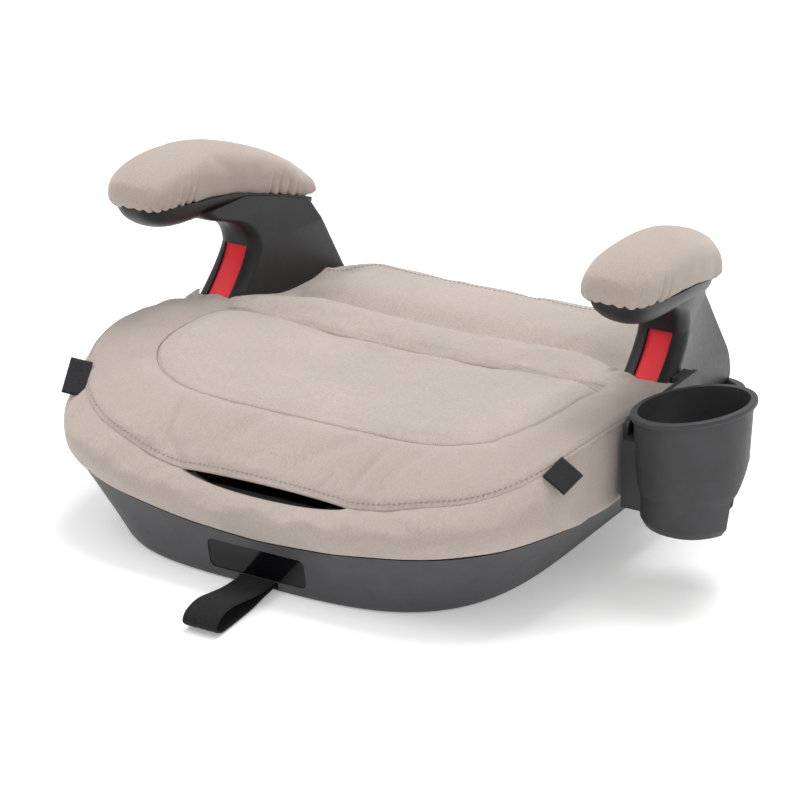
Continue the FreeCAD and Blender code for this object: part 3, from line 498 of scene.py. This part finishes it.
def skirt_grid(phi, seam_line, roll, fall):
    """Points of the skirt, from just under the perimeter seam down to the hem."""
    cos, sin = np.cos(phi), np.sin(phi)
    degrees = from_front(phi)
    opening = slit_opening(seam_line[:, 0], seam_line[:, 1])
    seam, bulge = reach(phi, SEAM), reach(phi, BULGE)
    hem, hem_z = hem_line(phi)
    bulge = np.maximum(bulge, hem + 1.5)
    bulge_z = hem_z + 13 + 4 * step(degrees, 60, 90)
    start_z = seam_line[:, 2] - 1.6 - (SLIT_RISE + SLIT_DROP) * opening
    start_r = seam + 0.3 + 5.0 * opening
    rows = [np.stack([cos * (start_r - d), Y_MID + sin * (start_r - d), start_z - f], -1)
            for d, f in ((12, 6.0), (5, 2.4), (1.6, 0.5))]
    for a in np.linspace(0.0, 1, roll + 1) ** 1.25 * math.pi / 2:
        r = start_r + (bulge - start_r) * np.sin(a) ** (1 + 0.5 * step(degrees, 120, 160))
        rows.append(np.stack([cos * r, Y_MID + sin * r, bulge_z + (start_z - bulge_z) * np.cos(a)], -1))
    for t in np.linspace(0, 1, fall + 1)[1:]:
        r = bulge - (bulge - hem) * t ** 2
        rows.append(np.stack([cos * r, Y_MID + sin * r, bulge_z + (hem_z - bulge_z) * t], -1))
    for dr, dz in ((-0.8, -0.5), (-2.4, -0.3), (-4.0, 1.0), (-5.0, 6.0)):
        rows.append(rows[3 + roll + fall] + np.stack([cos * dr, sin * dr, np.zeros(len(phi)) + dz], -1))
    return skirt_folds(np.array(rows), phi)


def skirt_folds(skirt, phi):
    """Shallow drags in the skirt, deepest under the ends of the hand hold."""
    rows = np.linspace(0, 1, len(skirt))[:, None]
    cos, sin = np.cos(phi), np.sin(phi)
    x = skirt[..., 0]
    front = (sin < -0.3) * 1.0
    wave = np.zeros_like(x)
    folds = ((-74, -30, 5, 1.5), (-92, -46, 7, 1.0), (72, 34, 5, 1.3), (96, 40, 8, 0.9))
    for at, lean, width, deep in folds:
        wave = wave + front * deep * bell(x - at - lean * rows, width) * bell(rows - 0.2, 0.28)
    drag = 0.35 * np.sin(phi * 23 + 2.2 * rows + 1.1 * np.sin(phi * 5)) * bell(rows - 0.75, 0.22)
    out = skirt.copy()
    out[..., 0] -= cos * (wave + drag)
    out[..., 1] -= sin * (wave + drag)
    return out


def filled(phi, share, top, skirt):
    """Cover after its cloth has been filled, from a coarser grid held at its seams and hem."""
    rough_phi = directions(COARSE[0] + COARSE[1])
    rough_share = np.concatenate([clustered(COARSE[0], 0.2)[1:], 1 + clustered(COARSE[1], 0.3)[1:]])
    rough = top_grid(rough_phi, rough_share)
    x, y = rough[..., 0], rough[..., 1]
    ring = rough_share[:, None]
    inset = reach(rough_phi, INSET) * (1 - ring)
    at_seam = bell(inset * (ring <= 1.001), 1.5) * (np.abs(ring - 1) < 0.02)
    at_channel = bell(y - channel_line(x), 4) * (np.abs(x) < 144)
    held = np.maximum(at_seam, at_channel)
    held[-1] = 1
    held = np.maximum(held, (np.abs(x) > post_inner(y) - 2) * (y > 34) * 1.0)
    held[0] = np.maximum(held[0], 0.3)
    move = settle(rough, held, PRESSURE, 0.012, TOP_CAP)
    move = soften(move, 1) - 0.8 * soften(move, 9)
    middle = move[:3].mean((0, 1))
    move = middle + (move - middle) * np.minimum(1, rough_share / 0.3)[:, None, None]
    top = top + spread(move, rough_share, share, len(phi))

    rough_skirt = skirt_grid(rough_phi, rough[-1], COARSE_ROLL, COARSE_FALL)
    held = np.zeros(rough_skirt.shape[:2])
    held[:4], held[-5:] = 1, 1
    move = settle(rough_skirt, held, PRESSURE, 0.015, SKIRT_CAP)
    move = soften(move, 1) - 0.8 * soften(move, 9)
    rough_at, fine_at = (np.concatenate([[0, 1, 2], 3 + np.linspace(0, 1, a + 1),
                                         4 + np.linspace(0, 1, b + 1)[1:], [6, 7, 8, 9]])
                         for a, b in ((COARSE_ROLL, COARSE_FALL), (SKIRT_ROLL, SKIRT_FALL)))
    return top, skirt + spread(move, rough_at, fine_at, len(phi))


def build_cover():
    phi = directions(SIDE_STEPS)
    count = len(phi)
    share = np.concatenate([clustered(INNER_RINGS, 0.8)[1:], 1 + clustered(OUTER_RINGS, 0.45)[1:]])
    top = top_grid(phi, share)
    skirt = skirt_grid(phi, top[-1], SKIRT_ROLL, SKIRT_FALL)
    top, skirt = filled(phi, share, top, skirt)
    tuck = [top[-1] + np.stack([np.cos(phi) * dr, np.sin(phi) * dr, np.zeros(count) + dz], -1)
            for dr, dz in ((0.9, -0.7), (0.9, -1.7), (-0.4, -2.6), (-4.0, -3.0), (-11.0, -4.0))]
    rows = np.concatenate([top, tuck])
    centre = top[0].mean(0)[None]
    points = np.concatenate([centre, rows.reshape(-1, 3), skirt.reshape(-1, 3)])
    faces = [(0, 1 + j, 1 + (j + 1) % count) for j in range(count)]
    kinds = [1] * count

    def in_post(mid):
        past = min(max(abs(mid[0]) - post_outer(mid[2]) + POST_CORNER, 0.0), POST_CORNER)
        front = post_front(mid[2]) + POST_CORNER - math.sqrt(POST_CORNER ** 2 - past ** 2)
        return abs(mid[0]) > post_inner(mid[1]) + 1.2 and mid[1] > front + 1.2 and mid[2] > 50

    for grid, offset, on_top in ((rows, 1, True), (skirt, 1 + len(rows) * count, False)):
        for i in range(len(grid) - 1):
            mids = (grid[i] + np.roll(grid[i + 1], -1, 0)) / 2
            for j in range(count):
                if mids[j][1] > 20 and in_post(mids[j]):
                    continue
                k = (j + 1) % count
                a = offset + i * count
                faces.append((a + j, a + count + j, a + count + k, a + k))
                ribbed = on_top and (i < INNER_RINGS - 1 or (mids[j][1] > 24 and i < len(top) - 1))
                # faces either side of the front inset seam take the darker seam fabric: painted shade of the
                # seam groove
                painted_seam_shade = on_top and INNER_RINGS - 1 <= i <= INNER_RINGS and mids[j][1] < 14
                kinds.append(2 if painted_seam_shade else 1 if ribbed else 0)
    cover = mesh_object("seat_cover_sewn", points, faces, [FABRIC, INSET_FABRIC, SEAM_SHADE], kinds)
    clean = bmesh.new()
    clean.from_mesh(cover.data)
    bmesh.ops.delete(clean, geom=[v for v in clean.verts if not v.link_faces], context="VERTS")
    clean.to_mesh(cover.data)
    clean.free()
    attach(cover, "seat")
    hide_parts("seat_cover", "seat_foam")
    return top


def stitches(name, path, length, gap, radius, lift, up, body):
    """Row of thread stitches along a closed path of points, in millimetres."""
    path = np.array(path)
    closed = np.concatenate([path, path[:1]])
    run = np.concatenate([[0], np.cumsum(np.linalg.norm(np.diff(closed, axis=0), axis=1))])
    total = run[-1]
    number = int(total / (length + gap))
    points, faces = [], []
    sides = 6
    for i in range(number):
        start = i * total / number
        stations = [start, start + length * 0.25, start + length * 0.75, start + length]
        centre = np.stack([np.interp(stations, run, closed[:, axis]) for axis in range(3)], -1)
        way = centre[-1] - centre[0]
        way = way / np.linalg.norm(way)
        normal = np.array([np.interp(start, run, np.append(up[:, axis], up[0, axis])) for axis in range(3)])
        across = np.cross(way, normal)
        across = across / np.linalg.norm(across)
        normal = np.cross(across, way)
        if centre[0][1] > 20 and abs(centre[0][0]) > post_inner(centre[0][1]) - 5:
            continue
        base = len(points)
        for c, rise, thick in zip(centre, (-0.5, 0.35, 0.35, -0.5), (0.4, 1, 1, 0.4)):
            for s in range(sides):
                a = 2 * math.pi * s / sides
                points.append(c + normal * (lift + rise * radius + thick * radius * math.sin(a))
                              + across * thick * radius * math.cos(a) * 1.25)
        for r in range(3):
            for s in range(sides):
                t = (s + 1) % sides
                faces.append((base + r * sides + s, base + r * sides + t, base + (r + 1) * sides + t,
                              base + (r + 1) * sides + s))
        faces.append([base + s for s in range(sides)][::-1])
        faces.append([base + 3 * sides + s for s in range(sides)])
    made = mesh_object(name, points, faces, [THREAD])
    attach(made, body)
    return made


def row_normals(rows, i):
    """Surface normals along one row of a grid of points."""
    around = np.roll(rows[i], -1, 0) - np.roll(rows[i], 1, 0)
    inward = rows[i] - rows[i - 1]
    normal = np.cross(inward, around)
    return normal / np.linalg.norm(normal, axis=1)[:, None]


def topstitch(top):
    seam = top[-1]
    gaps = np.linalg.norm(top - seam[None], axis=2).mean(1)
    i = int(np.argmin(np.abs(gaps - 4.0)))
    stitches("perimeter_stitches", top[i], 2.7, 1.1, 0.32, 0.12, row_normals(top, i), "seat")


# ---------------------------------------------------------------- armrest pads
PAD_SECTIONS = [(-52.5, 190, 8, 203, 208), (-51.2, 190, 14, 200, 212.5), (-48, 190.5, 19, 197, 217),
                (-42, 191, 23.2, 194.5, 221), (-33, 191.5, 26, 193, 224), (-20, 191.5, 27.4, 191.5, 226.4),
                (-5, 191.5, 27.8, 189.5, 227.2), (20, 190.5, 27.5, 186, 226), (45, 188.5, 26.5, 181.5, 222),
                (62, 186.5, 26, 177.5, 217), (83, 183, 24.5, 171.5, 209.5), (105, 178.5, 22, 165.5, 199.5),
                (123, 174.5, 19.5, 160.5, 189), (138, 171.5, 16.5, 157, 178.5), (149, 170, 12.5, 156, 169),
                (155.5, 169.5, 7, 157, 162)]
PAD_LONG, PAD_ROUND = 210, 150
PAD_COARSE = (60, 44)


def pad_points(long, round_):
    """Grid of points on the right armrest pad: rows along it, columns round it."""
    section = np.array(PAD_SECTIONS, float)
    y_knots = section[:, 0]
    share = (1 - np.cos(np.linspace(0, 1, long) * math.pi)) / 2
    share = 0.35 * np.linspace(0, 1, long) + 0.65 * share
    y = y_knots[0] + (y_knots[-1] - y_knots[0]) * share
    cx, half, low, high = (curve(list(zip(y_knots, section[:, c])))(y) for c in range(1, 5))
    belly = low + 0.36 * (high - low)
    beta = np.linspace(0, 2 * math.pi, round_, endpoint=False)
    c, s = np.cos(beta), np.sin(beta)
    x = cx[:, None] + half[:, None] * np.sign(c) * np.abs(c) ** 0.8
    above = (high - belly)[:, None] * np.abs(s) ** 0.92
    below = (belly - low)[:, None] * np.abs(s) ** 0.5
    up = np.where(s >= 0, above, -below)
    z = belly[:, None] + up
    return np.stack([x, y[:, None] + np.zeros(round_), z], -1), beta


def pleats(grid, beta):
    """Gathers of the elastic hem: short ones round the nose, longer ones behind it and at the rear."""
    y = grid[..., 1]
    z = grid[..., 2]
    hem = z.min(1)[:, None]
    height = z - hem
    inner = np.cos(beta)[None, :] < 0
    # distance round the nose, 0 at its tip, negative on the inner side
    sideways = np.where(inner, -1.0, 1.0)
    along = (y + 55) * sideways + np.cos(beta)[None, :] * 20
    move = np.zeros_like(y)
    marks = [(-52, 24, 3.0), (-41, 10, 2.0), (-33, 13, 2.4), (-25, 10, 2.0), (-17, 14, 2.4), (-8, 9, 1.9),
             (1, 12, 2.2), (10, 10, 2.0), (19, 13, 2.4), (28, 10, 2.0), (38, 12, 2.2), (50, 26, 3.2),
             (60, 24, 3.0), (72, 18, 2.2), (-60, 26, 3.2), (-69, 22, 2.8),
             (-162, 24, 2.8), (-172, 27, 3.0), (-182, 20, 2.4), (-192, 15, 2.0),
             (164, 24, 2.8), (174, 25, 3.0), (184, 18, 2.4), (194, 14, 2.0)]
    for at, tall, deep in marks:
        lean = 0.25 * height * np.sign(at)
        d = along - at - lean
        fade = np.exp(-(height / (0.7 * tall)) ** 2) * step(y, -53.5, -47)
        crease = 0.75 * deep * np.exp(-np.abs(d) / 1.3) * fade
        swell = 0.14 * deep * bell(np.abs(d) - 3.8, 2.4) * fade
        move = move - crease + swell
    return move


def grid_normals(grid):
    along = np.gradient(grid, axis=0)
    around = np.roll(grid, -1, 1) - np.roll(grid, 1, 1)
    normal = np.cross(along, around)
    return normal / (np.linalg.norm(normal, axis=2)[..., None] + 1e-9)


def build_pad(side, name):
    grid, beta = pad_points(PAD_LONG, PAD_ROUND)
    normal = grid_normals(grid)
    outward = np.sign(np.sum(normal * (grid - grid.mean(1)[:, None, :]), axis=2))[..., None]
    drawn = normal * outward * pleats(grid, beta)[..., None]
    rough, rough_beta = pad_points(PAD_COARSE[0], PAD_COARSE[1])
    held = (np.sin(rough_beta)[None, :] < -0.75) * np.ones(PAD_COARSE[0])[:, None]
    held[:2], held[-2:] = 1, 1
    move = settle(rough, held, PRESSURE, 0.02, PAD_CAP)
    move = soften(move, 1) - 0.6 * soften(move, 7)
    grid = grid + spread(move, np.linspace(0, 1, PAD_COARSE[0]), np.linspace(0, 1, PAD_LONG), PAD_ROUND)
    grid = grid + drawn
    grid[..., 0] *= side
    rows, count = grid.shape[:2]
    points = np.concatenate([grid.reshape(-1, 3), [grid[0].mean(0) - [0, 0.6, 0]],
                             [grid[-1].mean(0) + [0, 0.6, 0]]])
    faces = [(i * count + j, i * count + (j + 1) % count,
              (i + 1) * count + (j + 1) % count, (i + 1) * count + j)
             for i in range(rows - 1) for j in range(count)]
    last = (rows - 1) * count
    faces += [(rows * count, (j + 1) % count, j) for j in range(count)]
    faces += [(rows * count + 1, last + j, last + (j + 1) % count) for j in range(count)]
    if side < 0:
        faces = [f[::-1] for f in faces]
    pad = mesh_object("armrest_pad_" + name, points, faces, [PAD_FABRIC])
    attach(pad, "seat")
    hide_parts("armrest_cover_" + name, "armrest_foam_" + name)
    return pad


# ---------------------------------------------------------------- strap and tags
STRAP_HALF_W, STRAP_T = 13.5, 1.3
STRAP_LOOP = [(-168.6, 3.9), (-184, 3.9), (-198, 3.2), (-214, 1.6), (-232, 1.4), (-248, 1.5), (-257, 2.4),
              (-262, 6.4), (-259.5, 11.4), (-251, 14.0), (-240, 14.2), (-226, 11.6), (-210, 8.6),
              (-197, 7.4), (-186, 7.0), (-168.6, 7.0)]   # (y, z) of the webbing's middle, out and back
STRAP_SKEW = -0.063


def smooth_path(points, count):
    """Evenly spaced points on a Catmull-Rom curve."""
    p = np.array(points, float)
    p = np.concatenate([[2 * p[0] - p[1]], p, [2 * p[-1] - p[-2]]])
    out = []
    for i in range(1, len(p) - 2):
        for t in np.linspace(0, 1, 24, endpoint=False):
            out.append(0.5 * (2 * p[i] + (p[i + 1] - p[i - 1]) * t
                              + (2 * p[i - 1] - 5 * p[i] + 4 * p[i + 1] - p[i + 2]) * t**2
                              + (3 * p[i] - p[i - 1] - 3 * p[i + 1] + p[i + 2]) * t**3))
    out.append(p[-2])
    out = np.array(out)
    run = np.concatenate([[0], np.cumsum(np.linalg.norm(np.diff(out, axis=0), axis=1))])
    at = np.linspace(0, run[-1], count)
    return np.stack([np.interp(at, run, out[:, k]) for k in range(out.shape[1])], -1)


def build_strap():
    line = smooth_path(STRAP_LOOP, 160)
    way = np.gradient(line, axis=0)
    way /= np.linalg.norm(way, axis=1)[:, None]
    out = np.stack([way[:, 1], -way[:, 0]], -1)
    across = np.linspace(-1, 1, 19)
    rows = []
    for side in (1, -1):
        for a in across[::side]:
            ridge = 0.22 * np.cos(a * math.pi * 5.0) + 0.25 * bell(abs(a) - 0.93, 0.07)
            thick = STRAP_T / 2 * (1 - abs(a) ** 14 * 0.5) + ridge * 0.4
            yz = line + out * thick * side
            x = a * STRAP_HALF_W + STRAP_SKEW * np.minimum(line[:, 0] + 186, 0)
            rows.append(np.stack([x, yz[:, 0], yz[:, 1]], -1))
    rows = np.array(rows)
    around, count = rows.shape[:2]
    faces = [(i * count + j, ((i + 1) % around) * count + j,
              ((i + 1) % around) * count + j + 1, i * count + j + 1)
             for i in range(around) for j in range(count - 1)]
    faces += [[i * count for i in range(around)], [i * count + count - 1 for i in range(around)][::-1]]
    strap = mesh_object("strap_webbing", rows.reshape(-1, 3), faces, [WEBBING])
    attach(strap, "strap")
    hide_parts("release_strap")
    return strap


def build_tag(name, root, out, along, length=25.0, width=24.0, sag=0.0):
    """Blank folded tape: two layers with a rounded fold at the free end."""
    root, out, along = (np.array(v, float) for v in (root, out, along))
    out /= np.linalg.norm(out)
    along = along - out * (along @ out)
    along /= np.linalg.norm(along)
    up = np.cross(out, along)
    if up[2] < 0:
        up = -up
    t = np.linspace(0, 1, 22)
    profile = [(length * s, 0.75 + 0.25 * math.sin(math.pi * s)) for s in t[:-1]]
    profile += [(length + 0.75 * math.cos(a), 0.75 * math.sin(a)) for a in np.linspace(1.4, -1.4, 9)]
    profile += [(length * s, -0.75) for s in t[:-1][::-1]]
    points, cols = [], 13
    for s, h in profile:
        curl = sag * (s / length) ** 2
        for w in np.linspace(-width / 2, width / 2, cols):
            points.append(root + out * s + up * (h - curl + 0.5 * math.sin(w / width * 3.0)) + along * w)
    n = len(profile)
    faces = [(i * cols + j, i * cols + j + 1, (i + 1) * cols + j + 1, (i + 1) * cols + j)
             for i in range(n - 1) for j in range(cols - 1)]
    tag = mesh_object("tag_" + name, points, faces, [TAG])
    skin = tag.modifiers.new("thickness", "SOLIDIFY")
    skin.thickness = 0.00035
    skin.offset = 0
    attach(tag, "seat")
    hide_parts("side_tag_" + name)
    return tag


# ---------------------------------------------------------------- camera, light and floor
def camera():
    azimuth, elevation = math.radians(30.4), math.radians(22.4)
    target, distance = Vector((-0.0032, 0.0117, 0.0679)), 2.433
    back = Vector((math.sin(azimuth) * math.cos(elevation), -math.cos(azimuth) * math.cos(elevation),
                   math.sin(elevation)))
    data = bpy.data.cameras.new("camera")
    data.sensor_width, data.lens = 36.0, 153.0
    made = bpy.data.objects.new("camera", data)
    made.location = target + back * distance
    made.rotation_mode = "QUATERNION"
    made.rotation_quaternion = (-back).to_track_quat("-Z", "Y")
    bpy.context.scene.collection.objects.link(made)
    bpy.context.scene.camera = made


def area_light(name, where, aim, size, power, colour=(1, 1, 1)):
    data = bpy.data.lights.new(name, "AREA")
    data.size, data.energy, data.color = size, power, colour
    made = bpy.data.objects.new(name, data)
    made.location = where
    made.rotation_mode = "QUATERNION"
    made.rotation_quaternion = (Vector(aim) - Vector(where)).to_track_quat("-Z", "Y")
    bpy.context.scene.collection.objects.link(made)


def studio():
    world = bpy.data.worlds.new("studio")
    bpy.context.scene.world = world
    world.use_nodes = True
    world.node_tree.nodes["Background"].inputs["Color"].default_value = (1, 1, 1, 1)
    world.node_tree.nodes["Background"].inputs["Strength"].default_value = 0.68
    area_light("key", (-1.6, -0.9, 2.4), (0, 0, 0.08), 1.4, 17)
    area_light("top", (0.0, 0.9, 2.4), (0, 0, 0.1), 1.5, 50)
    area_light("side", (2.4, -0.2, 1.4), (0, 0, 0.1), 1.0, 4)
    material, nodes, links, shader = new_material("floor_paper")
    tone = noise(nodes, links, place(nodes), 3, 2)
    links.new(ramp(nodes, links, tone, (0.93, 0.93, 0.93), (0.95, 0.95, 0.95)), shader.inputs["Base Color"])
    shader.inputs["Roughness"].default_value = 0.9
    shader.inputs["Emission Color"].default_value = (1, 1, 1, 1)
    shader.inputs["Emission Strength"].default_value = 0.25
    half, low = 9000, -0.2
    corners = [(-half, -half, low), (half, -half, low), (half, half, low), (-half, half, low)]
    floor = mesh_object("floor", corners, [(0, 1, 2, 3)], [material])


bpy.context.scene.view_settings.view_transform = "Standard"
camera()
studio()
dress_cad()
topstitch(build_cover())
for side, name in ((1, "right"), (-1, "left")):
    build_pad(side, name)
build_strap()
build_tag("right", (186.5, -114.5, 105), (0.88, -0.04, -0.47), (0.45, 0.85, 0.30), 18, 19, 1.0)
build_tag("left", (-174, -130, 98), (-0.80, -0.35, 0.15), (-0.40, 0.68, 0.60), 15, 28, -1.0)
